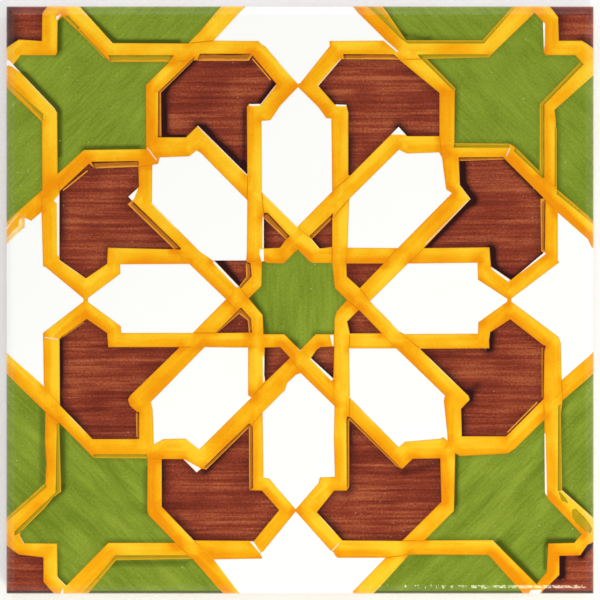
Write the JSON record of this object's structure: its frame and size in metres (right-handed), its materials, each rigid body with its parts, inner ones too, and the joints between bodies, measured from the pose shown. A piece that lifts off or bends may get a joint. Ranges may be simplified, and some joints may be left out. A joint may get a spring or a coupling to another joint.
{
  "type": "moorish tile",
  "caption": "Square glazed ceramic wall tile with a rolled rim, a keyed back and a hand-painted Moorish strapwork pattern.",
  "frame": {"origin": "middle of the square, on the plane that the ribs of the back rest on", "axes": "+Z is the outward normal of the glazed face; X and Y run along the sides"},
  "size_m": [0.15, 0.15, 0.009],
  "materials": {
    "white_glaze": "gloss glaze over fired clay",
    "orange_glaze": "gloss glaze, brushed on in strokes",
    "green_glaze": "gloss glaze, brushed on in strokes",
    "brown_glaze": "gloss glaze, brushed on in strokes",
    "fired_clay": "unglazed, matt"
  },
  "bodies": {
    "root": {"tile": "white_glaze"}
  },
  "joints": []
}
